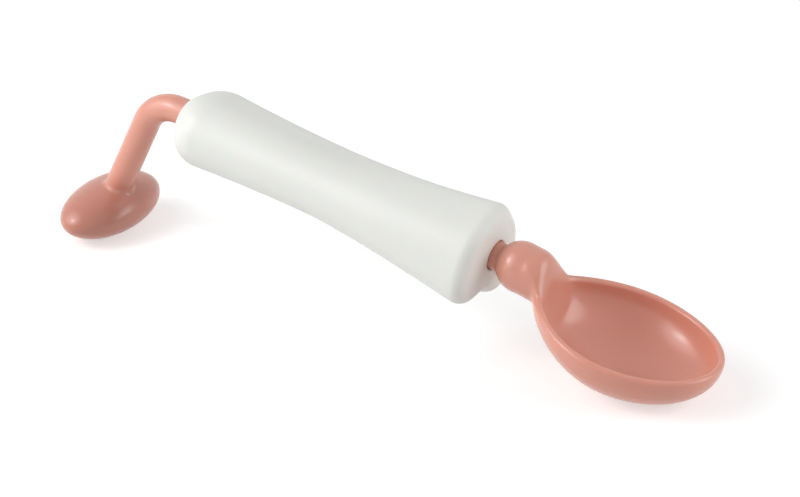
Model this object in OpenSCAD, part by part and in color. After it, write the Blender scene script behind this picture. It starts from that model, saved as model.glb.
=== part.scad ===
// Self-levelling training spoon: a bowl and a hanging counterweight share one shaft,
// and the shaft turns freely through a flared handle.
// Lengths are in millimetres and angles in degrees.
// The shaft frame has its x axis along the shaft, with x = 0 on the handle's front face,
// and the bowl on the positive side.
// The whole part is then tipped nose down until the bowl and the counterweight both rest at z = 0.

/* [Handle grip] */
// length of the white grip from its rear end to its front face
grip_length = 92.2; // [80:0.2:104]
// mean radius of the grip near its rear end, before the end is rounded
grip_rear_radius = 12.1; // [10.6:0.1:13]
// mean radius of the grip at its waist
grip_waist_radius = 10.2; // [9.9:0.1:11]
// mean radius of the grip at its flared front end
grip_flare_radius = 13.5; // [12.6:0.1:14.4]
// where the waist lies, as a share of the grip length from the rear end
grip_waist_share = 0.48; // [0.35:0.01:0.6]
// how late the grip swells towards its rear end
rear_power = 2.1; // [1.6:0.1:3]
// how late the flare opens towards the front
flare_power = 1.35; // [1.1:0.05:2]
// how far the waist hangs below the shaft's axis
waist_hang = 1.05; // [0.4:0.05:1.2]
// how far the front hangs below the shaft's axis
front_hang = 1.2; // [0.5:0.1:2]
// how much wider than tall the waist is, to each side of round
waist_flat = 1.75; // [0.6:0.05:1.8]
// how much wider than tall the front is, to each side of round
front_flat = 0.4; // [0:0.1:1.2]
// how far the two feet and the top ridge stand out at the waist
waist_feet = 0.05; // [0:0.05:0.6]
// how far the two feet and the top ridge stand out at the front
front_feet = 1.4; // [0.6:0.1:2]
// how square the section is at the waist
waist_square = 0.05; // [0:0.05:0.3]
// how square the section is at the front
front_square = 0.65; // [0.2:0.05:0.8]
// how much the front's feet and top ridge are narrowed
front_ridge = 0.5; // [0:0.05:0.6]
// length over which the rear end is rounded
rear_round = 9.2; // [7.4:0.1:10.4]
// how far the rounded rear end closes, as a share of the radius
rear_close_share = 0.76; // [0.66:0.01:0.8]
// rounding of the grip's front edge
front_round = 3.6; // [2.6:0.1:4.4]
// how far the front face swells forward at the shaft
face_crown = 0.5; // [0.1:0.1:0.9]
// angle that the grip stands turned about the shaft at rest
grip_turn = -11; // [-60:1:60]

/* [Handle inside] */
// outer radius of the stiff tube inside the grip
core_radius = 6.2; // [5.8:0.1:6.4]
// wall of the stiff tube
core_wall = 1.1; // [0.9:0.1:1.2]
// thickness of the grip's end walls
end_wall = 3.6; // [3:0.1:4.6]
// length of each bearing bush
bush_length = 8; // [5:0.5:12]
// gap between pieces that are moulded or pressed together
seat_gap = 0.02; // [0.01:0.01:0.04]

/* [Shaft] */
// radius of the coral shaft where it turns in the bushes
shaft_radius = 3.6; // [3.3:0.05:3.8]
// radial clearance between the shaft and each bush
running_clearance = 0.08; // [0.04:0.01:0.1]
// radial clearance between the shaft and the grip's end walls
end_clearance = 0.3; // [0.2:0.05:0.5]
// axial play between each snap bead and its bush
axial_play = 0.3; // [0.15:0.05:0.6]
// length of each snap bead
bead_length = 1.4; // [1:0.1:2]
// how far each snap bead stands out from the shaft
bead_height = 0.22; // [0.15:0.01:0.3]
// radius of the steel rod inside the shaft
rod_radius = 1.9; // [1.5:0.1:2.2]
// depth of the flat that keys the steel rod at each end
rod_flat = 0.6; // [0.3:0.1:0.9]
// length of the flat at each end of the steel rod
flat_length = 9; // [6:0.5:12]

/* [Bowl] */
// radius of the ball between the shaft and the bowl
ball_radius = 6.5; // [6:0.1:7.2]
// distance from the grip's front face to the centre of the ball
ball_reach = 7.9; // [7.6:0.1:10]
// half the length of the bowl along the shaft
bowl_half_length = 25.6; // [22:0.2:30]
// half the width of the bowl before the egg shape is applied
bowl_half_width = 19.8; // [16:0.1:22]
// distance from the centre of the ball to the near end of the bowl
bowl_start = 5.1; // [4.2:0.1:5.4]
// depth of the bowl's outside below its rim
bowl_depth = 14.1; // [11:0.1:16]
// how boxy the bowl's sides are, where 2 is an ellipse
bowl_fullness = 2.1; // [2:0.05:2.6]
// how much wider the bowl is towards its tip
egg_lean = 0.03; // [0:0.01:0.2]
// how much the bowl narrows towards both ends
egg_pinch = 0.14; // [0:0.01:0.25]
// how much the bowl narrows at the neck end alone
egg_tail = 0.1; // [0:0.01:0.15]
// how far the bowl's bottom lies towards the tip from the middle of the rim
keel_shift = 0.6; // [0:0.1:1.2]
// how far the rim lies below the shaft's axis
rim_drop = 3.7; // [2.8:0.1:5]
// how far the tip droops and the neck end lifts
tip_droop = 1.3; // [0:0.1:2]
// how far both ends of the rim rise above its middle
rim_saddle = 1.2; // [0:0.1:1.6]
// thickness of the bowl's wall, and of its rounded lip
bowl_wall = 2; // [1.6:0.1:2.6]
// radius of the tapered neck at the centre of the ball
neck_radius = 6.3; // [5.8:0.1:6.4]
// length of the tapered neck ahead of the centre of the ball
neck_length = 8.8; // [8.2:0.1:9.6]
// half the angle that the neck tapers through, and the angle that it slopes down
neck_taper = 7; // [4:0.5:9]
// how deep the neck's end stays inside the bowl's wall
neck_sink = 0.5; // [0.3:0.1:0.8]

/* [Crank and counterweight] */
// distance from the grip's rear end to the corner of the crank
crank_reach = 10.5; // [10:0.1:15]
// radius of the bend of the crank's centre line
bend_radius = 9.9; // [7:0.1:10.5]
// angle that the crank's arm leans back from square to the shaft
arm_lean = 15.7; // [5:0.1:25]
// distance from the crank's corner to the centre of the counterweight
arm_length = 37.6; // [33:0.1:44]
// half the thickness of the counterweight
bob_half_height = 6.8; // [6.2:0.1:7.6]
// half the length of the counterweight along the shaft
bob_half_length = 9.9; // [9:0.1:11.5]
// half the width of the counterweight across the shaft
bob_half_width = 17.5; // [15.5:0.1:21]
// height of the flat cut on the underside of the counterweight
foot_cut = 0.4; // [0.25:0.05:0.6]
// half the thickness of the steel weight
weight_half_height = 2.6; // [2:0.1:3]
// radius of the steel weight's round ends
weight_radius = 4.8; // [4:0.1:5.2]
// half the distance between the steel weight's round ends
weight_half_span = 7; // [4:0.1:8]
// how deep the arm sits in the counterweight, below the counterweight's top
arm_seat = 2.6; // [2:0.1:3]
// width of the ledge that the closing plug rests on
plug_ledge = 0.8; // [0.5:0.1:1.1]

/* [Hidden] */
// columns of facets around the grip
grip_sides = 60;
// rings of facets along the grip's body
grip_rings = 18;
// rings of facets on each rounded edge
round_rings = 5;
// rings of facets on the crowned front face
crown_rings = 3;
// columns of facets around the bowl
bowl_sides = 60;
// rings of facets on each face of the bowl
bowl_rings = 10;
// rings of facets over the rounded lip
lip_rings = 4;
// columns and rings of facets on the counterweight
bob_sides = 56;
bob_rings = 24;
// segments of true round shapes
round_sides = 96;
// quarter, half and full turns in degrees
quarter = 90;
half_turn = 180;
full_turn = 360;
// length by which a cutter passes the face that it cuts
overrun = end_wall / 7;
// colours of the two plastics, the liner and the steel
coral = [0.85, 0.55, 0.47];
ivory = [0.93, 0.93, 0.91];
liner = [0.8, 0.82, 0.84];
steel = [0.7, 0.71, 0.73];

// how far the spigot and the arm run into the thicker bend
bend_sink = 10 * seat_gap;
bend_tube_radius = shaft_radius + seat_gap;

// places along the shaft
grip_rear = -grip_length;
core_front = -end_wall;
core_rear = grip_rear + end_wall;
core_bore = core_radius - core_wall;
bush_front_end = core_front - bush_length;
bush_rear_end = core_rear + bush_length;
bead_front = bush_front_end - axial_play;
bead_rear = bush_rear_end + axial_play;
front_spigot_end = bead_front - bead_length;
rear_spigot_end = bead_rear + bead_length;
crank_corner = grip_rear - crank_reach;
bend_turn = quarter - arm_lean;
bend_start = crank_corner + bend_radius * tan(bend_turn / 2);
rod_front = ball_reach + ball_radius / 4;
rod_rear = (bend_start + grip_rear) / 2;
bore_radius = shaft_radius + running_clearance;
end_hole = shaft_radius + end_clearance;

// the bowl
bowl_x = ball_reach + bowl_start + bowl_half_length;
lip_radius = bowl_wall / 2;
rim_level = -rim_drop;

function rim_half(a, inset) = (bowl_half_width - inset) * sin(a) *
    (1 + egg_lean * cos(a) - egg_pinch * pow(cos(a), 2) + egg_tail * pow(cos(a), 3));
function rim_along(a, inset) = (bowl_half_length - inset) * cos(a);
function rim_rise(a) = rim_saddle * cos(a) * cos(a) - tip_droop * cos(a);
function dish(s) = pow(1 - pow(s, bowl_fullness), 1 / bowl_fullness);
function shell_point(a, s, inset) = [
    bowl_x + s * rim_along(a, inset) + keel_shift * (1 - s * s),
    s * rim_half(a, inset),
    rim_level - lip_radius + s * rim_rise(a) - (bowl_depth - lip_radius - inset) * dish(s)
];
function lip_point(a, b) =
    let (outer = shell_point(a, 1, 0), inner = shell_point(a, 1, bowl_wall))
    let (middle = (outer + inner) / 2)
    middle + (outer - middle) * cos(b) + [0, 0, lip_radius * sin(b)];
function ring_share(k) = sin(quarter * k / bowl_rings);
function hollow_ring(k, lift) = [for (a = bowl_angles)
    shell_point(a, ring_share(k), bowl_wall - neck_sink) + [0, 0, lift]];
bowl_angles = [for (i = [0:bowl_sides - 1]) full_turn * i / bowl_sides];
bowl_ring_points = concat(
    [for (k = [1:bowl_rings]) [for (a = bowl_angles) shell_point(a, ring_share(k), 0)]],
    [for (k = [1:lip_rings - 1]) [for (a = bowl_angles) lip_point(a, half_turn * k / lip_rings)]],
    [for (k = [bowl_rings:-1:1]) [for (a = bowl_angles) shell_point(a, ring_share(k), bowl_wall)]]
);

// the counterweight's centre in the shaft frame
bob_x = crank_corner - arm_length * sin(arm_lean);
bob_z = -arm_length * cos(arm_lean);

// the pitch at which both ends rest on the floor
function height(p, tip) = p[2] * cos(tip) - p[0] * sin(tip);
function bowl_low(tip) = min([for (k = [0:bowl_rings]) for (a = [0, half_turn])
    height(shell_point(a, ring_share(k), 0), tip)]);
function bob_low(tip) = height([bob_x, 0, bob_z], tip) - bob_half_height + foot_cut;
function level_pitch(low, high, steps) =
    steps == 0 ? (low + high) / 2 :
    bob_low((low + high) / 2) < bowl_low((low + high) / 2) ?
        level_pitch((low + high) / 2, high, steps - 1) :
        level_pitch(low, (low + high) / 2, steps - 1);
steepest_pitch = 30;
pitch_steps = 40;
nose_down = level_pitch(0, steepest_pitch, pitch_steps);
floor_lift = -bob_low(nose_down);
bob_row_x = bob_x * cos(nose_down) + bob_z * sin(nose_down);
tip_row_x = max([for (k = [0:lip_rings])
    let (p = lip_point(0, half_turn * k / lip_rings))
    p[0] * cos(nose_down) + p[2] * sin(nose_down)]);
centre_shift = -(tip_row_x + bob_row_x - bob_half_length) / 2;

// the grip's outline: a flattened oval that hangs below the shaft and opens into two feet and a ridge
function ahead(s) = max(s - grip_waist_share, 0) / (1 - grip_waist_share);
function behind(s) = max(grip_waist_share - s, 0) / grip_waist_share;
function flared(s, at_waist, at_front) = at_waist + (at_front - at_waist) * pow(ahead(s), flare_power);
function grip_radius(s) = flared(s, grip_waist_radius, grip_flare_radius) +
    (grip_rear_radius - grip_waist_radius) * pow(behind(s), rear_power);
function grip_outline(s, a) = grip_radius(s) -
    flared(s, waist_hang, front_hang) * sin(a) +
    flared(s, waist_flat, front_flat) * cos(2 * a) -
    flared(s, waist_feet, front_feet) * sin(3 * a) -
    flared(s, waist_square, front_square) * cos(4 * a) +
    flared(s, 0, front_ridge) * sin(5 * a);
function grip_point(x, inset, share, a) =
    let (r = share * (grip_outline((x - grip_rear) / grip_length, a) - inset))
    [x, r * cos(a), r * sin(a)];
grip_angles = [for (i = [0:grip_sides - 1]) full_turn * i / grip_sides];
body_start = grip_rear + rear_round;
body_end = -front_round;
// each entry holds the place along the shaft, the inset from the outline and the share of the radius
grip_stations = concat(
    [for (k = [0:round_rings - 1]) let (b = quarter * k / round_rings)
        [body_start - rear_round * cos(b), 0, 1 - rear_close_share * (1 - sin(b))]],
    [for (k = [0:grip_rings]) [body_start + (body_end - body_start) * k / grip_rings, 0, 1]],
    [for (k = [1:round_rings]) let (b = quarter * k / round_rings)
        [body_end + front_round * sin(b), front_round * (1 - cos(b)), 1]],
    [for (k = [1:crown_rings]) let (d = k / (crown_rings + 1))
        [face_crown * sin(quarter * d), front_round, 1 - d]]
);
grip_ring_points = [for (g = grip_stations) [for (a = grip_angles) grip_point(g[0], g[1], g[2], a)]];

// the counterweight's outline
bob_angles = [for (i = [0:bob_sides - 1]) full_turn * i / bob_sides];
bob_ring_points = [for (k = [1:bob_rings - 1]) let (b = half_turn * k / bob_rings - quarter)
    [for (a = bob_angles) [
        bob_half_length * cos(b) * cos(a),
        bob_half_width * cos(b) * sin(a),
        bob_half_height * sin(b)]]];
plug_radius = weight_radius + plug_ledge;
plug_height = bob_half_height - foot_cut - weight_half_height - seat_gap;

// stacks rings of points into a closed surface, with a point or a flat face at each end
module ring_solid(rings, first, last) {
    count = len(rings[0]);
    levels = len(rings);
    ring_points = [for (r = rings) for (p = r) p];
    ends = concat(first, last);
    start_index = levels * count;
    end_index = start_index + len(first);
    sides = [for (k = [0:levels - 2]) for (i = [0:count - 1])
        let (j = (i + 1) % count, m = k * count, n = (k + 1) * count)
        for (f = [[m + i, n + i, n + j], [m + i, n + j, m + j]]) f];
    start_faces = len(first) > 0 ?
        [for (i = [0:count - 1]) [start_index, i, (i + 1) % count]] :
        [[for (i = [count - 1:-1:0]) i]];
    top = (levels - 1) * count;
    end_faces = len(last) > 0 ?
        [for (i = [0:count - 1]) [end_index, top + (i + 1) % count, top + i]] :
        [[for (i = [0:count - 1]) top + i]];
    polyhedron(concat(ring_points, ends), concat(start_faces, sides, end_faces));
}

// moves from the shaft frame to the resting frame
module at_rest() {
    translate([centre_shift, 0, floor_lift])
        rotate([0, nose_down, 0])
            children();
}

// moves from the counterweight's own centre to the shaft frame, level with the floor
module at_bob() {
    translate([bob_x, 0, bob_z])
        rotate([0, -nose_down, 0])
            children();
}

// a cylinder along the shaft from one place to another
module shaft_cylinder(from_x, to_x, radius) {
    translate([from_x, 0, 0])
        rotate([0, quarter, 0])
            cylinder(h = to_x - from_x, r = radius, $fn = round_sides);
}

// the steel rod's outline with a keying flat at each end, grown by a gap
module keyed_rod(gap) {
    flat_height = rod_radius - rod_flat + gap;
    cut_width = 2 * (rod_radius + overrun);
    difference() {
        shaft_cylinder(rod_rear - gap, rod_front + gap, rod_radius + gap);
        translate([rod_front - flat_length - gap, -cut_width / 2, flat_height])
            cube([flat_length + 2 * gap + overrun, cut_width, cut_width]);
        translate([rod_rear - gap - overrun, -cut_width / 2, flat_height])
            cube([flat_length + 2 * gap + overrun, cut_width, cut_width]);
    }
}

// the bowl, its ball and the front spigot, moulded in one piece
module bowl() {
    color(coral)
        at_rest()
            difference() {
                union() {
                    ring_solid(bowl_ring_points,
                        [shell_point(0, 0, 0)], [shell_point(0, 0, bowl_wall)]);
                    translate([ball_reach, 0, 0])
                        sphere(r = ball_radius, $fn = round_sides);
                    neck();
                    shaft_cylinder(bead_front - overrun, ball_reach, shaft_radius);
                    shaft_cylinder(front_spigot_end, bead_front, shaft_radius + bead_height);
                }
                keyed_rod(seat_gap);
            }
}

// the tapered neck between the ball and the bowl, kept out of the hollow
module neck() {
    end_radius = neck_radius - neck_length * tan(neck_taper);
    difference() {
        translate([ball_reach, 0, 0])
            rotate([0, quarter + neck_taper, 0])
                cylinder(h = neck_length, r1 = neck_radius, r2 = end_radius, $fn = round_sides);
        hollow();
    }
}

// the space above and inside the bowl, a little larger than the hollow
module hollow() {
    ring_solid(
        concat([for (k = [1:bowl_rings]) hollow_ring(k, 0)], [hollow_ring(bowl_rings, 2 * ball_radius)]),
        [shell_point(0, 0, bowl_wall - neck_sink)], []);
}

// the keyed steel rod that joins the bowl to the crank inside the handle
module core_rod() {
    color(steel)
        at_rest()
            keyed_rod(0);
}

// the crank: rear spigot, bend and arm
module crank_arm() {
    color(coral)
        at_rest()
            difference() {
                union() {
                    shaft_cylinder(bend_start - bend_sink, bead_rear + overrun, shaft_radius);
                    shaft_cylinder(bead_rear, rear_spigot_end, shaft_radius + bead_height);
                    bend();
                    arm();
                }
                keyed_rod(seat_gap);
            }
}

// the bend between the spigot and the arm
module bend() {
    translate([bend_start, 0, -bend_radius])
        rotate([quarter, 0, 0])
            rotate([0, 0, quarter])
                rotate_extrude(angle = bend_turn, $fn = round_sides)
                    translate([bend_radius, 0])
                        circle(r = bend_tube_radius, $fn = round_sides);
}

// the straight arm from the bend to its seat in the counterweight
module arm() {
    arm_start = bend_radius * tan(bend_turn / 2) - bend_sink;
    arm_end = arm_length - bob_half_height + arm_seat;
    translate([crank_corner, 0, 0])
        rotate([0, half_turn + arm_lean, 0])
            translate([0, 0, arm_start])
                cylinder(h = arm_end - arm_start, r = shaft_radius, $fn = round_sides);
}

// the same arm as a cutter for its seat
module arm_socket() {
    arm_end = arm_length - bob_half_height + arm_seat + seat_gap;
    translate([crank_corner, 0, 0])
        rotate([0, half_turn + arm_lean, 0])
            translate([0, 0, arm_length / 2])
                cylinder(h = arm_end - arm_length / 2, r = shaft_radius + seat_gap, $fn = round_sides);
}

// an upright solid with round ends across the shaft
module long_round(radius, half_span, low, high) {
    for (side = [-1, 1])
        translate([0, side * half_span, low])
            cylinder(h = high - low, r = radius, $fn = round_sides);
    translate([-radius, -half_span, low])
        cube([2 * radius, 2 * half_span, high - low]);
}

// the counterweight's outer form, with its flat foot
module bob_form() {
    difference() {
        ring_solid(bob_ring_points, [[0, 0, -bob_half_height]], [[0, 0, bob_half_height]]);
        translate([-bob_half_length, -bob_half_width, -bob_half_height - overrun])
            cube([2 * bob_half_length, 2 * bob_half_width, foot_cut + overrun]);
    }
}

// the counterweight's shell, open from below for the weight
module bob_shell() {
    color(coral)
        at_rest()
            difference() {
                at_bob()
                    difference() {
                        bob_form();
                        long_round(weight_radius + seat_gap, weight_half_span,
                            -bob_half_height - overrun, weight_half_height + seat_gap);
                        long_round(plug_radius + seat_gap, weight_half_span,
                            -bob_half_height - overrun, -weight_half_height - seat_gap);
                    }
                arm_socket();
            }
}

// the steel weight
module weight_slug() {
    color(steel)
        at_rest()
            at_bob()
                long_round(weight_radius, weight_half_span, -weight_half_height, weight_half_height);
}

// the plug that closes the counterweight from below, flush with its underside
module bob_plug() {
    color(coral)
        at_rest()
            at_bob()
                intersection() {
                    bob_form();
                    long_round(plug_radius, weight_half_span,
                        -bob_half_height, -bob_half_height + foot_cut + plug_height);
                }
}

// the white grip, moulded over the stiff tube
module grip() {
    color(ivory)
        at_rest()
            rotate([grip_turn, 0, 0])
                difference() {
                    ring_solid(grip_ring_points, [], []);
                    shaft_cylinder(core_rear - seat_gap, core_front + seat_gap, core_radius + seat_gap);
                    shaft_cylinder(grip_rear - overrun, overrun, end_hole);
                }
}

// the stiff tube inside the grip
module handle_core() {
    color(liner)
        at_rest()
            difference() {
                shaft_cylinder(core_rear, core_front, core_radius);
                shaft_cylinder(core_rear - overrun, core_front + overrun, core_bore);
            }
}

// one bearing bush between two places along the shaft
module bush(from_x, to_x) {
    color(liner)
        at_rest()
            difference() {
                shaft_cylinder(from_x, to_x, core_bore - seat_gap);
                shaft_cylinder(from_x - overrun, to_x + overrun, bore_radius);
            }
}

// the bush near the bowl
module front_bush() {
    bush(bush_front_end, core_front);
}

// the bush near the crank
module rear_bush() {
    bush(core_rear, bush_rear_end);
}

bowl();
core_rod();
crank_arm();
bob_shell();
weight_slug();
bob_plug();
grip();
handle_core();
front_bush();
rear_bush();
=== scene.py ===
# %% [markdown]
# # A self-levelling training spoon
#
# This lesson dresses the CAD model of a small mechanism. A coral bowl, a cranked rod and an
# oval counterweight turn together inside a white handle. Each step first says what the piece
# is, how it could be made in Blender, and why it is made this way.

import bpy
import numpy as np
from mathutils import Matrix, Vector


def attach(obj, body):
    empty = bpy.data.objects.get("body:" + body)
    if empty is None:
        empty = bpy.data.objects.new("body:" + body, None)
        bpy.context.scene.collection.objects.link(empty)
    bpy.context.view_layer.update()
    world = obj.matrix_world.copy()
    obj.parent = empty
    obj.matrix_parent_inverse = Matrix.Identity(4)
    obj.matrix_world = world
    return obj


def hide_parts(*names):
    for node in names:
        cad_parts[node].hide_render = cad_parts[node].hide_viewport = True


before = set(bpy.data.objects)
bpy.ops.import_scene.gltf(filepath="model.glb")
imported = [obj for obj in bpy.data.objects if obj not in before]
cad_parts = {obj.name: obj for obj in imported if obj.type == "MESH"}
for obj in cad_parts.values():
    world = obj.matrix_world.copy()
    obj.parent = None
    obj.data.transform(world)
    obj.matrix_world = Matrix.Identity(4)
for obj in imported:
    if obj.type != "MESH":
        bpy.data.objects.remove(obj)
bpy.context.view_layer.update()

# %% [markdown]
# ## The frame that the shapes are written in
#
# The spoon rests nose down, but its shapes are simplest along its own shaft. So every shape
# below is written in millimetres in the shaft frame: x = 0 on the handle's front face, +x to
# the bowl, z up. One tilt and one shift then take the points to the resting place, in metres.

# %% Shaft frame
MM = 0.001
NOSE_DOWN = np.radians(9.02038)
ORIGIN = np.array([32.2002, 0.0, 24.4524])
TILT = np.array([
    [np.cos(NOSE_DOWN), 0.0, np.sin(NOSE_DOWN)],
    [0.0, 1.0, 0.0],
    [-np.sin(NOSE_DOWN), 0.0, np.cos(NOSE_DOWN)],
])


def at_rest(points):
    """Place = tilt times point, plus the shift of the shaft's origin, in metres."""
    return (np.asarray(points) @ TILT.T + ORIGIN) * MM


print("the shaft leaves the handle at", at_rest([0, 0, 0]).round(4))

# %% [markdown]
# ## The camera
#
# A camera can be placed by eye, or solved from points whose real places are known. Here it is
# solved: the ball, the rod, the counterweight and the rim were measured in the photograph.
# A long lens from almost a metre away keeps the perspective flat, as product photographs do.
# Its place is counted from the centre of the ball, the easiest point to find in the picture.
# The ball's centre lies a short reach in front of the handle.

# %% Camera
BALL_REACH = 7.9
CAMERA_FROM_BALL = np.array([317.816, -676.783, 456.091])
AZIMUTH, ELEVATION, ROLL = np.radians([27.461, 31.4395, 9.6902])
FOCAL_PIXELS, PHOTO_PIXELS, SENSOR_WIDTH = 3577.5, 800, 36.0

back = np.array([
    np.sin(AZIMUTH) * np.cos(ELEVATION),
    -np.cos(AZIMUTH) * np.cos(ELEVATION),
    np.sin(ELEVATION),
])
level_right = np.array([np.cos(AZIMUTH), np.sin(AZIMUTH), 0.0])
level_up = np.cross(back, level_right)
right = np.cos(ROLL) * level_right + np.sin(ROLL) * level_up
up = -np.sin(ROLL) * level_right + np.cos(ROLL) * level_up
camera_axes = TILT @ np.stack([right, up, back], axis=1)

camera_data = bpy.data.cameras.new("camera")
camera_data.sensor_width = SENSOR_WIDTH
camera_data.lens = FOCAL_PIXELS / PHOTO_PIXELS * SENSOR_WIDTH
camera_data.clip_start = 0.05
camera_data.clip_end = 20.0
camera = bpy.data.objects.new("camera", camera_data)
bpy.context.scene.collection.objects.link(camera)
placed = Matrix(camera_axes.tolist()).to_4x4()
placed.translation = Vector(at_rest(CAMERA_FROM_BALL + [BALL_REACH, 0, 0]).tolist())
camera.matrix_world = placed
bpy.context.scene.camera = camera
print("camera at", [round(v, 3) for v in placed.translation], "lens", round(camera_data.lens, 1))

# %% [markdown]
# ## From a formula to a mesh
#
# Moulded plastic has soft fillets wherever two forms meet. They could be modelled by hand with
# loops and bevels. A signed distance field is quicker to get exact: one formula tells how far
# each point is from the surface, and two formulas blend into a fillet with a smooth minimum.
# A net then wraps the surface: one vertex in every grid cell that the surface crosses, and one
# quad round every grid edge that it crosses. Last, each vertex slides along the field's slope
# until it lies on the surface, which makes the highlights clean.

# %% Blending two fields
def smooth_min(a, b, size):
    """The lower of two distances, lowered further where they are closer than the fillet size."""
    share = np.clip(0.5 + 0.5 * (b - a) / size, 0, 1)
    return b * (1 - share) + a * share - size * share * (1 - share)


def smooth_max(a, b, size):
    """The higher of two distances, with the corner between them rounded."""
    return -smooth_min(-a, -b, size)


# %% Sliding the vertices onto the surface
PROBE = 0.02
LEAST_STEEPNESS = 0.05
LONGEST_MOVE = 0.25


def settle(field, points, rounds=3):
    """Newton's step: move each point by its distance times the slope over the slope squared."""
    for _ in range(rounds):
        slope = np.stack([(field(points + offset) - field(points - offset)) / (2 * PROBE)
                          for offset in np.eye(3) * PROBE], axis=1)
        steepness = np.maximum((slope ** 2).sum(axis=1), LEAST_STEEPNESS)
        move = -slope * (field(points) / steepness)[:, None]
        length = np.linalg.norm(move, axis=1, keepdims=True)
        points = points + move * np.minimum(1, LONGEST_MOVE / np.maximum(length, 1e-9))
    return points


# %% Wrapping a field in a net
def net(field, low, high, step):
    """Surface net: each crossed cell's vertex is the mean of the crossings on its edges."""
    axes = [np.arange(a, b + step, step) for a, b in zip(low, high)]
    grid = np.stack(np.meshgrid(*axes, indexing="ij"), axis=-1)
    values = np.stack([field(slab.reshape(-1, 3)).reshape(slab.shape[:-1]) for slab in grid])
    strides = np.array([values.shape[1] * values.shape[2], values.shape[2], 1])
    total = np.zeros((values.size, 3))
    count = np.zeros(values.size)
    unit = np.eye(3, dtype=int)
    quads = []
    for d in range(3):
        # Grid edges along axis d whose two ends lie on different sides of the surface.
        near = [slice(None)] * 3
        far = [slice(None)] * 3
        near[d] = slice(None, -1)
        far[d] = slice(1, None)
        a, b = values[tuple(near)], values[tuple(far)]
        edges = np.argwhere((a < 0) != (b < 0))
        start, end = a[tuple(edges.T)], b[tuple(edges.T)]
        crossing = edges.astype(float)
        crossing[:, d] += start / (start - end)

        # The four cells round each of those edges share its quad and its crossing point.
        first, second = unit[(d + 1) % 3], unit[(d + 2) % 3]
        cells = np.stack([(edges - back_step) @ strides
                          for back_step in (0 * first, first, first + second, second)], axis=1)
        for column in cells.T:
            for part in range(3):
                total[:, part] += np.bincount(column, crossing[:, part], values.size)
            count += np.bincount(column, minlength=values.size)
        quads.append(np.where((start < 0)[:, None], cells, cells[:, ::-1]))
    used = count > 0
    number = np.cumsum(used) - 1
    points = total[used] / count[used][:, None] * step + np.array(low)
    return settle(field, points), number[np.concatenate(quads)]


# %% Making an object from points and faces
def make_piece(name, points, faces, material, body, slot, *nodes):
    """Build the mesh at its resting place, hang it on its body, hide the CAD nodes it covers."""
    mesh = bpy.data.meshes.new(name)
    mesh.from_pydata(at_rest(points), [], np.asarray(faces).tolist())
    mesh.validate()
    mesh.polygons.foreach_set("use_smooth", np.ones(len(mesh.polygons), dtype=bool))
    mesh.materials.append(material)
    mesh.update()
    piece = bpy.data.objects.new(name, mesh)
    bpy.context.scene.collection.objects.link(piece)
    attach(piece, body)
    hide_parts(*nodes)
    size = np.ptp(np.array(points), axis=0)
    print(name, len(mesh.polygons), "faces,", size.round(1), "mm along the shaft frame")


# %% [markdown]
# ## Moulded plastic
#
# A single flat colour never looks like a real thing. Moulded plastic has a colour that drifts a
# little as the melt cools, a gloss that varies from spot to spot, a very fine grain from the
# steel mould, and some light that enters and comes out again. Each of these is one small group
# of nodes, measured in Object coordinates so that it stays with the piece when it moves.
#
# The counterweight and the bottom of the crank carry painted shade: a smooth step on the height
# puts a deeper tone there, so they look darker than the bowl.

# %% Small groups of nodes
def principled(name):
    """A new material, its node tree and its Principled shader."""
    material = bpy.data.materials.new(name)
    material.use_nodes = True
    return material, material.node_tree, material.node_tree.nodes["Principled BSDF"]


def noise(tree, vector, scale, detail):
    """Noise between 0 and 1, read at the vector times the scale."""
    cloud = tree.nodes.new("ShaderNodeTexNoise")
    cloud.inputs["Scale"].default_value = scale
    cloud.inputs["Detail"].default_value = detail
    tree.links.new(vector, cloud.inputs["Vector"])
    return cloud.outputs["Fac"]


def feed(tree, value, low, high, target):
    """Target = low + (high - low) times the value."""
    spread = tree.nodes.new("ShaderNodeMapRange")
    spread.inputs["To Min"].default_value = low
    spread.inputs["To Max"].default_value = high
    tree.links.new(value, spread.inputs["Value"])
    tree.links.new(spread.outputs["Result"], target)


def blend(tree, factor, colour):
    """A colour mix: the colour at factor 0, and what its socket B gets at factor 1."""
    mix = tree.nodes.new("ShaderNodeMix")
    mix.data_type = "RGBA"
    mix.inputs["A"].default_value = (*colour, 1)
    tree.links.new(factor, mix.inputs["Factor"])
    return mix


def height_step(tree, place, low, high):
    """0 below the low height, 1 above the high one, and a smooth rise between them."""
    split = tree.nodes.new("ShaderNodeSeparateXYZ")
    tree.links.new(place, split.inputs["Vector"])
    rise = tree.nodes.new("ShaderNodeMapRange")
    rise.interpolation_type = "SMOOTHSTEP"
    rise.inputs["From Min"].default_value = low
    rise.inputs["From Max"].default_value = high
    tree.links.new(split.outputs["Z"], rise.inputs["Value"])
    return rise.outputs["Result"]


def relief(tree, height, strength, depth, shader):
    """Lean the shader's normal by the slope of the height, with a depth in metres."""
    bump = tree.nodes.new("ShaderNodeBump")
    bump.inputs["Strength"].default_value = strength
    bump.inputs["Distance"].default_value = depth
    tree.links.new(height, bump.inputs["Height"])
    tree.links.new(bump.outputs["Normal"], shader.inputs["Normal"])


# %% Plastic material
GLOSS_DRIFT = 0.04
PLASTIC_IOR = 1.55
# Painted shade at the bottom of the crank: the share of the deeper tone's red, green and blue left
# there.
SHADE_DIM = (0.80, 0.74, 0.74)
# How far red, green and blue light travel inside, as shares of the depth.
LIGHT_REACH = (1.0, 0.38, 0.25)


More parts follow.
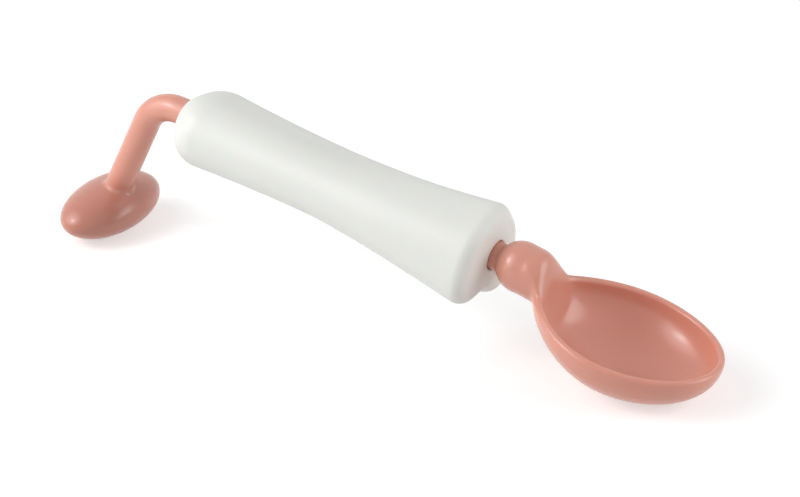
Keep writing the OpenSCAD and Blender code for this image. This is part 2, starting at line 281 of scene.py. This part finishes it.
def plastic(name, colour, deep, gloss, scatter, depth, grain, shade_below=None):
    """Colour = base mixed to its deeper tone by slow noise; roughness and bump from finer noise.

    The last argument, (low, high) in metres, paints shade: it darkens the colour smoothly below
    high, down to low."""
    material, tree, shader = principled(name)
    place = tree.nodes.new("ShaderNodeTexCoord").outputs["Object"]

    tone = blend(tree, noise(tree, place, scale=38.0, detail=2.0), colour)
    tone.inputs["B"].default_value = (*deep, 1)
    paint = tone.outputs["Result"]
    # Painted shade: the colour darkens towards the bottom of the crank and the counterweight.
    if shade_below:
        shade_mix = blend(tree, height_step(tree, place, *shade_below), np.multiply(deep, SHADE_DIM))
        tree.links.new(paint, shade_mix.inputs["B"])
        paint = shade_mix.outputs["Result"]
    tree.links.new(paint, shader.inputs["Base Color"])

    patches = noise(tree, place, scale=210.0, detail=4.0)
    feed(tree, patches, gloss - GLOSS_DRIFT, gloss + GLOSS_DRIFT, shader.inputs["Roughness"])
    texture = noise(tree, place, scale=2600.0, detail=3.0)
    relief(tree, texture, strength=grain, depth=0.00004, shader=shader)

    shader.inputs["IOR"].default_value = PLASTIC_IOR
    shader.inputs["Subsurface Weight"].default_value = scatter
    shader.inputs["Subsurface Radius"].default_value = LIGHT_REACH
    shader.inputs["Subsurface Scale"].default_value = depth
    return material


# %% The four plastics
coral_finish = dict(
    colour=(0.74, 0.340, 0.257), deep=(0.71, 0.314, 0.233),
    gloss=0.25, scatter=0.5, depth=0.0025, grain=0.06)
CORAL = plastic("coral_plastic", **coral_finish)
# This plastic carries painted shade, darker towards the bottom of the crank and the counterweight.
SHADED_CORAL = plastic("shaded_coral_plastic", **coral_finish, shade_below=(0.009, 0.019))
WHITE = plastic(
    "white_plastic", colour=(0.83, 0.84, 0.80), deep=(0.80, 0.815, 0.775),
    gloss=0.46, scatter=0.25, depth=0.002, grain=0.35)
LINER = plastic(
    "liner_plastic", colour=(0.60, 0.63, 0.66), deep=(0.57, 0.60, 0.63),
    gloss=0.42, scatter=0.10, depth=0.001, grain=0.20)
print("plastics:", CORAL.name, SHADED_CORAL.name, WHITE.name, LINER.name)

# %% [markdown]
# ## The bowl, its ball and its neck
#
# The bowl is an egg-shaped shell of even thickness. The field first asks how far a point lies
# from the shell's middle surface, and takes half the wall off that distance, which also gives
# the lip its round edge.
#
# The ball and the neck are a round cone. They melt into the filled form of the bowl with a wide
# fillet, and a crest stands up where the neck meets the rim. Then the hollow is cut out again,
# but not all the way back: a steep ramp stays behind it, so the neck steps down into the bowl.

# %% Bowl's sizes
# The ball and the shaft are given by their radii.
BALL = 6.5
SHAFT = 3.6
WALL = 2.0
# The depth is from the rim to the lowest point outside, and a fullness of 2 is an ellipse.
HALF_LONG, HALF_WIDE, DEPTH, FULLNESS = 25.45, 19.8, 14.1, 2.1
BOWL_START = 5.4
BOWL_X = BALL_REACH + BOWL_START + HALF_LONG
# The rim lies below the shaft, droops at the tip and rises in a saddle at both ends. Both stop
# growing at the run-out, which is counted in the rim's own radii.
RIM_DROP, TIP_DROOP, RIM_SADDLE, RIM_RUN_OUT = 3.7, 1.3, 1.2, 1.2
# The egg's three factors, and how far its deepest place lies towards the tip.
EGG_LEAN, EGG_PINCH, EGG_TAIL, KEEL_SHIFT = 0.03, 0.14, 0.10, 0.6


# %% Bowl's plan and depth
def bowl_plan(x, y, inset):
    """How far out a point is in plan, the cosine of its angle from the tip, the rim's height.

    Out is the length of (u, v / egg), 1 on the rim, and egg is a cubic in the cosine, so a few
    rounds find both. The rim's height is a saddle in the cosine, less a droop at the tip."""
    v = y / (HALF_WIDE - inset)
    out = np.ones_like(x)
    egg = 1.0
    for _ in range(6):
        u = (x - BOWL_X - KEEL_SHIFT * np.maximum(1 - out ** 2, 0)) / (HALF_LONG - inset)
        out = np.sqrt(u * u + (v / egg) ** 2) + 1e-9
        along = np.clip(u / out, -1, 1)
        egg = 1 + EGG_LEAN * along - EGG_PINCH * along ** 2 + EGG_TAIL * along ** 3
    bend = RIM_SADDLE * along ** 2 - TIP_DROOP * along
    level = -RIM_DROP - WALL / 2 + np.minimum(out, RIM_RUN_OUT) * bend
    return out, along, level


def bowl_gauge(x, y, z, inset):
    """1 on the bowl's surface, from the plan distance and the depth joined by one power."""
    out, _, level = bowl_plan(x, y, inset)
    down = np.maximum(level - z, 0) / (DEPTH - WALL / 2 - inset)
    return (out ** FULLNESS + down ** FULLNESS) ** (1 / FULLNESS), level


LEAST_SLOPE = 0.01


def bowl_side(points, inset):
    """Signed distance to one of the bowl's surfaces: (gauge - 1) over the gauge's slope."""
    x, y, z = points.T
    reach = 0.05
    here, level = bowl_gauge(x, y, z, inset)
    slope = np.sqrt(
        (bowl_gauge(x + reach, y, z, inset)[0] - bowl_gauge(x - reach, y, z, inset)[0]) ** 2
        + (bowl_gauge(x, y + reach, z, inset)[0] - bowl_gauge(x, y - reach, z, inset)[0]) ** 2
        + (bowl_gauge(x, y, z + reach, inset)[0] - bowl_gauge(x, y, z - reach, inset)[0]) ** 2
    ) / (2 * reach)
    return (here - 1) / np.maximum(slope, LEAST_SLOPE), level


# The shell is this much thinner on each side, to stay inside the CAD model.
CAD_MARGIN = 0.04


def bowl_shell(points):
    """Distance to the shell's middle surface less half the wall; above the rim, to its edge."""
    sideways, level = bowl_side(points, WALL / 2)
    above = np.maximum(points[:, 2] - level, 0)
    return np.sqrt(sideways ** 2 + above ** 2) - WALL / 2 + CAD_MARGIN


# %% Two round forms
def round_cone(points, start, end, start_radius, end_radius):
    """Distance to the line between two centres, less a radius that changes along it."""
    line = np.array(end) - np.array(start)
    share = np.clip((points - start) @ line / (line @ line), 0, 1)
    share = share * share * (3 - 2 * share)
    away = np.linalg.norm(points - start - share[:, None] * line, axis=1)
    return away - (start_radius + (end_radius - start_radius) * share)


def rod(points, from_x, to_x, radius):
    """Distance to a capped cylinder along the shaft."""
    round_part = np.hypot(points[:, 1], points[:, 2]) - radius
    caps = np.maximum(from_x - points[:, 0], points[:, 0] - to_x)
    return np.maximum(round_part, caps)


# %% Ball and neck
NECK_END = [BALL_REACH + 3.0, 0.0, -0.15]
NECK_RADIUS, NECK_FILLET = 6.4, 5.0
FILL_INSET = 0.9
CREST, CREST_SPREAD, CREST_ROUND = 3.6, np.radians(34.0), 0.8
RAMP_X, RAMP_Z, RAMP_SLOPE, RAMP_FILLET = BALL_REACH + 8.6, 1.4, 2.8, 3.0
HOLLOW_CLEAR, STEP_ROUND = 0.4, 2.2


def neck_field(points):
    """Round cone and filled bowl in one fillet, kept outside the hollow or below the ramp.

    The crest's height is a bell curve of the angle from the bowl's rear."""
    cone = round_cone(points, [BALL_REACH, 0, 0], NECK_END, BALL, NECK_RADIUS)
    outside, level = bowl_side(points, FILL_INSET)
    _, along, _ = bowl_plan(points[:, 0], points[:, 1], WALL / 2)
    crest = CREST * np.exp(-(np.arccos(-along) / CREST_SPREAD) ** 2)
    filled = smooth_max(outside, points[:, 2] - level - crest, CREST_ROUND)
    hollow, _ = bowl_side(points, WALL)
    run = points[:, 0] - RAMP_X
    ramp = (points[:, 2] - RAMP_Z + RAMP_SLOPE * run) / np.hypot(1, RAMP_SLOPE)
    kept = smooth_min(HOLLOW_CLEAR - hollow, ramp, RAMP_FILLET)
    return smooth_max(smooth_min(filled, cone, NECK_FILLET), kept, STEP_ROUND)


# %% Bowl piece
SPIGOT_END, BEAD_FRONT, BEAD = -13.3, -11.9, 3.82
ROD_FRONT, ROD_RADIUS = BALL_REACH + BALL / 4, 1.92
LIP_FILLET, SHAFT_FILLET = 0.8, 0.5
# The socket's cut starts this far outside the spigot.
CUT_PAST = 5


def bowl_field(points):
    """Shell, neck and shaft in small fillets, the bead added, the steel rod's socket taken out."""
    form = smooth_min(bowl_shell(points), neck_field(points), LIP_FILLET)
    form = smooth_min(form, rod(points, SPIGOT_END, BALL_REACH, SHAFT), SHAFT_FILLET)
    form = np.minimum(form, rod(points, SPIGOT_END, BEAD_FRONT, BEAD))
    return np.maximum(form, -rod(points, SPIGOT_END - CUT_PAST, ROD_FRONT, ROD_RADIUS))


bowl_low = [SPIGOT_END - 1, -21.2, -21.0]
bowl_high = [BOWL_X + HALF_LONG + 1.3, 21.2, 8.0]
bowl_step = 0.42
bowl_points, bowl_faces = net(bowl_field, bowl_low, bowl_high, bowl_step)
make_piece("bowl_form", bowl_points, bowl_faces, CORAL, "spoon", "coral_plastic", "bowl")

# %% [markdown]
# ## The crank and the counterweight
#
# A bent tube could be a curve with a bevel. Written as a field, it is the distance to a path of
# a straight run, an arc and a second straight run, so it can melt into the counterweight with a
# small fillet at its foot. The counterweight is a flattened egg, level with the table while the
# shaft slopes, so its field is read in the table's own axes. It has a pocket for the steel
# weight, open at the bottom, where the plug goes in.

# %% Crank's sizes
GRIP_LENGTH = 92.2
CORNER = -GRIP_LENGTH - 10.5
BEND = 9.9
LEAN = np.radians(15.7)
ARM = 37.6
ARM_END = ARM - 2.5
TURN = np.pi / 2 - LEAN
BEND_RUN = BEND * np.tan(TURN / 2)
BEND_START = CORNER + BEND_RUN
ARM_WAY = np.array([-np.sin(LEAN), 0.0, -np.cos(LEAN)])
REAR_SPIGOT_END, BEAD_REAR = -78.9, -80.3
ROD_REAR = (BEND_START - GRIP_LENGTH) / 2


def tube(points):
    """Distance to the bent centre line, less the shaft's radius.

    The centre line's distance is the least of those to two straight runs and an arc."""
    x, y, z = points.T
    straight = np.hypot(np.hypot(y, z), np.maximum(BEND_START - x, 0))
    dx, dz = x - BEND_START, z + BEND
    angle = np.clip(np.arctan2(-dx, dz), 0, TURN)
    arc = np.sqrt((dx + BEND * np.sin(angle)) ** 2 + (dz - BEND * np.cos(angle)) ** 2 + y * y)
    from_corner = points - [CORNER, 0, 0]
    along = np.clip(from_corner @ ARM_WAY, BEND_RUN, ARM_END)
    arm = np.linalg.norm(from_corner - along[:, None] * ARM_WAY, axis=1)
    nearest = np.minimum(np.minimum(straight, arc), arm) - SHAFT
    return np.maximum(nearest, x - REAR_SPIGOT_END)


# %% Counterweight's form
BOB = np.array([CORNER, 0, 0]) + ARM * ARM_WAY
HALF_SIZES = np.array([9.9, 17.5, 6.8])
FOOT_CUT, FOOT_ROUND = 0.4, 0.3
SLOT_HALF = 7.0
UNDER_BOB = -9


def in_bob(points):
    """The same point seen from the counterweight's centre, in the table's axes."""
    return (points - BOB) @ TILT.T


def egg(local):
    """Distance to an ellipsoid: n (n - 1) / m.

    n is the length of the point over the radii, m the length of the point over their squares."""
    near = np.linalg.norm(local / HALF_SIZES, axis=1)
    slope = np.linalg.norm(local / HALF_SIZES ** 2, axis=1)
    return near * (near - 1) / np.maximum(slope, 1e-6)


def footed_egg(local):
    """The egg, cut flat just above its lowest point, with the cut's edge rounded."""
    return smooth_max(egg(local), -local[:, 2] - HALF_SIZES[2] + FOOT_CUT, FOOT_ROUND)


def slot_form(local, radius, high):
    """Distance to an upright slot with two round ends, from under the counterweight to high."""
    past_end = np.maximum(np.abs(local[:, 1]) - SLOT_HALF, 0)
    outside = np.hypot(local[:, 0], past_end) - radius
    return np.maximum(outside, np.maximum(UNDER_BOB - local[:, 2], local[:, 2] - high))


# %% Crank piece
WEIGHT_HALF, WEIGHT_RADIUS, PLUG_RADIUS, SEAT = 2.6, 4.8, 5.6, 0.02
ARM_FILLET, POCKET_ROUND, MOUTH_ROUND = 1.4, 0.1, 0.25


def crank_field(points):
    """Tube and counterweight in a small fillet, less the rod's socket and the weight's pocket."""
    local = in_bob(points)
    form = smooth_min(tube(points), footed_egg(local), ARM_FILLET)
    form = np.minimum(form, rod(points, BEAD_REAR, REAR_SPIGOT_END, BEAD))
    form = np.maximum(form, -rod(points, ROD_REAR, 0, ROD_RADIUS))
    pocket = slot_form(local, WEIGHT_RADIUS + SEAT, WEIGHT_HALF + SEAT)
    mouth = slot_form(local, PLUG_RADIUS + SEAT, -WEIGHT_HALF - SEAT)
    return smooth_max(smooth_max(form, -pocket, POCKET_ROUND), -mouth, MOUTH_ROUND)


crank_low = [-125.5, -18.4, -46.0]
crank_high = [REAR_SPIGOT_END + 1, 18.4, 4.8]
crank_step = 0.34
crank_points, crank_faces = net(crank_field, crank_low, crank_high, crank_step)
make_piece("crank_form", crank_points, crank_faces, SHADED_CORAL, "spoon", "coral_plastic",
           "crank_arm", "bob_shell")

# %% [markdown]
# ## The plug under the counterweight
#
# The steel weight goes in from below, and a plug closes the hole. It follows the same egg, cut
# to a long shape with round ends. Its edges are rounded a little more than the shell's, which
# draws the fine seam line that a pressed-in plug shows.

# %% Plug piece
PLUG_ROUND = 0.3


def plug_field(local):
    """The counterweight's own surface inside a slot's outline, with a softened edge."""
    outline = slot_form(local, PLUG_RADIUS, -WEIGHT_HALF - SEAT)
    return smooth_max(footed_egg(local), outline, PLUG_ROUND)


plug_low = [-6.4, -13.6, -7.4]
plug_high = [6.4, 13.6, -1.6]
plug_points, plug_faces = net(plug_field, plug_low, plug_high, step=0.25)
plug_points = plug_points @ TILT + BOB
make_piece("plug_form", plug_points, plug_faces, SHADED_CORAL, "spoon", "coral_plastic", "bob_plug")

# %% [markdown]
# ## The grip
#
# The handle is one long form whose section changes slowly. A loft suits it: rings of points
# along the shaft, each ring a wavy circle. The section is an oval wider than it is tall, it
# hangs below the shaft, and towards the front it opens into a ridge on top and two feet.
# The rings run on over both ends and back through the bore, so the mesh closes on itself.

# %% Grip's section
# Each wave's size is given twice, for the waist and for the front.
REAR_RADIUS, WAIST_RADIUS, FLARE_RADIUS = 12.1, 10.2, 13.5
WAIST_SHARE, REAR_POWER, FLARE_POWER = 0.48, 2.1, 1.35
HANG, FLAT, FEET = (1.05, 1.2), (1.75, 0.4), (0.05, 1.4)
SQUARE, RIDGE = (0.05, 0.65), (0.0, 0.5)
GRIP_TURN = np.radians(-11)


def grip_outline(x, angle):
    """Radius = mean - hang sin a + flat cos 2a - feet sin 3a - square cos 4a + ridge sin 5a."""
    share = (x + GRIP_LENGTH) / GRIP_LENGTH
    ahead = np.maximum(share - WAIST_SHARE, 0) / (1 - WAIST_SHARE)
    behind = np.maximum(WAIST_SHARE - share, 0) / WAIST_SHARE
    flare = ahead ** FLARE_POWER
    mean = (WAIST_RADIUS + (FLARE_RADIUS - WAIST_RADIUS) * flare
            + (REAR_RADIUS - WAIST_RADIUS) * behind ** REAR_POWER)
    hang, flat, feet, square, ridge = (
        pair[0] + (pair[1] - pair[0]) * flare for pair in (HANG, FLAT, FEET, SQUARE, RIDGE))
    return (mean - hang * np.sin(angle) + flat * np.cos(2 * angle) - feet * np.sin(3 * angle)
            - square * np.cos(4 * angle) + ridge * np.sin(5 * angle))


# %% Grip's body and front
REAR_ROUND, REAR_CLOSE, FRONT_ROUND, CROWN = 9.2, 0.76, 3.6, 0.5
END_HOLE, END_WALL, CORE = 3.9, 3.6, 6.22
# A bevel's width is across the shaft, and its run is along it.
FRONT_BEVEL_WIDTH, FRONT_BEVEL_RUN = 0.25, 0.22
REAR_BEVEL_WIDTH, REAR_BEVEL_RUN = 0.2, 0.25
FRONT_RINGS, FACE_RINGS, REAR_RINGS = 24, 21, 31
columns = 288
rows = 170
around = np.linspace(0, 2 * np.pi, columns, endpoint=False)[None, :]


def ring_band(x, radius):
    """Rings of points: each column's place along the shaft and its distance from the shaft."""
    return np.stack([x + 0 * around, radius + 0 * around])


body_x = np.linspace(REAR_ROUND - GRIP_LENGTH, -FRONT_ROUND, rows)[:, None]
body = ring_band(body_x, grip_outline(body_x, around))

quarter = np.linspace(0, np.pi / 2, FRONT_RINGS + 1)[1:, None]
front_x = -FRONT_ROUND + FRONT_ROUND * np.sin(quarter)
front = ring_band(front_x, grip_outline(front_x, around) - FRONT_ROUND * (1 - np.cos(quarter)))

edge = front[1, -1]
inward = np.linspace(0, 1, FACE_RINGS + 1)[1:, None]
face_radius = edge + (END_HOLE + FRONT_BEVEL_WIDTH - edge) * inward
face = ring_band(CROWN * np.sin(np.pi / 2 * inward), face_radius)
print("the grip's feet reach", round(float(edge.max() + FRONT_ROUND), 2), "mm from the shaft")

# %% Grip's rear end
# The rear closes like a quarter of an ellipse. Repeated guesses find the angle at which it
# reaches the edge of the hole.
low_turn = np.zeros((1, columns))
for _ in range(40):
    low_x = REAR_ROUND * (1 - np.cos(low_turn)) - GRIP_LENGTH
    left_over = (END_HOLE + REAR_BEVEL_WIDTH) / grip_outline(low_x, around)
    low_turn = np.arcsin(np.clip(1 - (1 - left_over) / REAR_CLOSE, 0, 1))
rear_share = np.linspace(0, 1, REAR_RINGS + 1)[:-1, None]
rear_turn = low_turn + (np.pi / 2 - low_turn) * rear_share
rear_x = REAR_ROUND * (1 - np.cos(rear_turn)) - GRIP_LENGTH
rear_shrink = 1 - REAR_CLOSE * (1 - np.sin(rear_turn))
rear = ring_band(rear_x, grip_outline(rear_x, around) * rear_shrink)
print("the grip's rear rings start at x =", round(float(rear_x.min()), 2), "mm")

# %% Grip's bore
# Single rings: the front hole, the wide middle that holds the tube, and the rear hole.
bore = np.concatenate([
    ring_band(CROWN - FRONT_BEVEL_RUN, END_HOLE),
    ring_band(-END_WALL, END_HOLE),
    ring_band(-END_WALL, CORE),
    ring_band(END_WALL - GRIP_LENGTH, CORE),
    ring_band(END_WALL - GRIP_LENGTH, END_HOLE),
    ring_band(rear_x[:1] + REAR_BEVEL_RUN, END_HOLE),
], axis=1)

# %% Grip piece
rings = np.concatenate([rear, body, front, face, bore], axis=1)
turned = around + GRIP_TURN
grip_points = np.stack([rings[0], rings[1] * np.cos(turned), rings[1] * np.sin(turned)], axis=-1)
levels = len(grip_points)
ring_of, column_of = np.meshgrid(np.arange(levels), np.arange(columns), indexing="ij")
next_ring = (ring_of + 1) % levels
next_column = (column_of + 1) % columns
grip_faces = np.stack([
    next_ring * columns + column_of,
    next_ring * columns + next_column,
    ring_of * columns + next_column,
    ring_of * columns + column_of,
], axis=-1).reshape(-1, 4)
make_piece("grip_form", grip_points.reshape(-1, 3), grip_faces, WHITE, "handle", "white_plastic",
           "grip")

# %% [markdown]
# ## The pieces inside
#
# The steel rod, the weight, the tube and the two bushes stay as the CAD made them. They still
# get real materials, because the bush shows in the gap round the shaft, and because anyone who
# takes the part apart sees them. Drawn bar and pressed steel show fine lines along their length.

# %% Steel
STEEL_GREY = (0.62, 0.62, 0.64, 1)
LINES_ALONG_X = (0.05, 1.0, 1.0)


def drawn_steel(name):
    """Metal whose roughness and bump come from one noise, drawn out along x."""
    material, tree, shader = principled(name)
    shader.inputs["Metallic"].default_value = 1.0
    shader.inputs["Base Color"].default_value = STEEL_GREY
    place = tree.nodes.new("ShaderNodeTexCoord").outputs["Object"]
    stretch = tree.nodes.new("ShaderNodeMapping")
    stretch.inputs["Scale"].default_value = LINES_ALONG_X
    tree.links.new(place, stretch.inputs["Vector"])
    lines = noise(tree, stretch.outputs["Vector"], scale=900.0, detail=5.0)
    feed(tree, lines, 0.22, 0.42, shader.inputs["Roughness"])
    relief(tree, lines, strength=0.25, depth=0.00002, shader=shader)
    return material


STEEL = drawn_steel("drawn_steel")
dressed = {"core_rod": STEEL, "weight_slug": STEEL, "handle_core": LINER,
           "front_bush": LINER, "rear_bush": LINER}
for name, material in dressed.items():
    node = bpy.data.objects[name]
    node.data.materials.clear()
    node.data.materials.append(material)
    print(name, "gets", material.name)

# %% [markdown]
# ## The studio
#
# Product photographs like this one use a white sweep and large soft lamps. Here a wide lamp on
# the upper left lights the top of the handle, and a second one on the right fills the other
# side. A small lamp in front of the first draws the bright spots on the ball and the bend. All
# are round and placed in the camera's axes, where a highlight is easy to aim. The world around
# them lights the shaded sides weakly, but looks white to the camera and to reflections.

# %% World
BOUNCE_WHITE = 0.32
SEEN_WHITE = 1.0


def highest(tree, first, second):
    """The higher of two values."""
    node = tree.nodes.new("ShaderNodeMath")
    node.operation = "MAXIMUM"
    tree.links.new(first, node.inputs[0])
    tree.links.new(second, node.inputs[1])
    return node.outputs[0]


def path_switch(tree):
    """1 for rays from the camera, from a reflection or through glass, and 0 for light bounces."""
    path = tree.nodes.new("ShaderNodeLightPath").outputs
    seen = highest(tree, path["Is Camera Ray"], path["Is Glossy Ray"])
    return highest(tree, seen, path["Is Transmission Ray"])


world = bpy.data.worlds.new("white_sweep")
bpy.context.scene.world = world
world.use_nodes = True
background = world.node_tree.nodes["Background"]
background.inputs["Color"].default_value = (1, 1, 1, 1)
feed(world.node_tree, path_switch(world.node_tree), BOUNCE_WHITE, SEEN_WHITE,
     background.inputs["Strength"])
bpy.context.scene.view_settings.view_transform = "Standard"

# %% Lamps
AIM = Vector((0, 0, 0.02))


def softbox(name, toward, distance, size, power):
    """A round area light at aim + distance times the direction, which is in the camera's axes."""
    light = bpy.data.lights.new(name, "AREA")
    light.shape = "DISK"
    light.size = size
    light.energy = power
    lamp = bpy.data.objects.new(name, light)
    bpy.context.scene.collection.objects.link(lamp)
    way = Vector((camera_axes @ np.array(toward)).tolist()).normalized()
    lamp.location = AIM + way * distance
    lamp.rotation_euler = way.to_track_quat("Z", "Y").to_euler()
    print(name, "at", [round(v, 2) for v in lamp.location])


softbox("key_box", toward=(-0.80, 0.42, 0.36), distance=0.7, size=0.78, power=3.3)
softbox("key_core", toward=(-0.80, 0.44, 0.41), distance=0.68, size=0.20, power=0.8)
softbox("side_box", toward=(0.85, 0.26, 0.33), distance=0.8, size=0.62, power=2.7)

# %% [markdown]
# ## The floor
#
# The floor is plain and pale, so it keeps the object's soft shadow. It also gives a little
# white of its own, more to the camera and to reflections than to light bounces. So it joins
# the white background and doesn't light the underside too much.

# %% Floor
FLOOR_HALF = 6
BOUNCE_GLOW, SEEN_GLOW = 0.12, 0.52
floor_mesh = bpy.data.meshes.new("floor")
floor_corners = [(side * FLOOR_HALF, end * FLOOR_HALF, 0)
                 for side, end in ((-1, -1), (1, -1), (1, 1), (-1, 1))]
floor_mesh.from_pydata(floor_corners, [], [(0, 1, 2, 3)])
floor = bpy.data.objects.new("floor", floor_mesh)
bpy.context.scene.collection.objects.link(floor)
pale, pale_tree, matt = principled("pale_floor")
matt.inputs["Base Color"].default_value = (0.7, 0.7, 0.7, 1)
matt.inputs["Roughness"].default_value = 0.9
matt.inputs["Specular IOR Level"].default_value = 0.0
matt.inputs["Emission Color"].default_value = (1, 1, 1, 1)
feed(pale_tree, path_switch(pale_tree), BOUNCE_GLOW, SEEN_GLOW, matt.inputs["Emission Strength"])
floor_mesh.materials.append(pale)
print("the floor lies at z = 0 and is", 2 * FLOOR_HALF, "m wide")
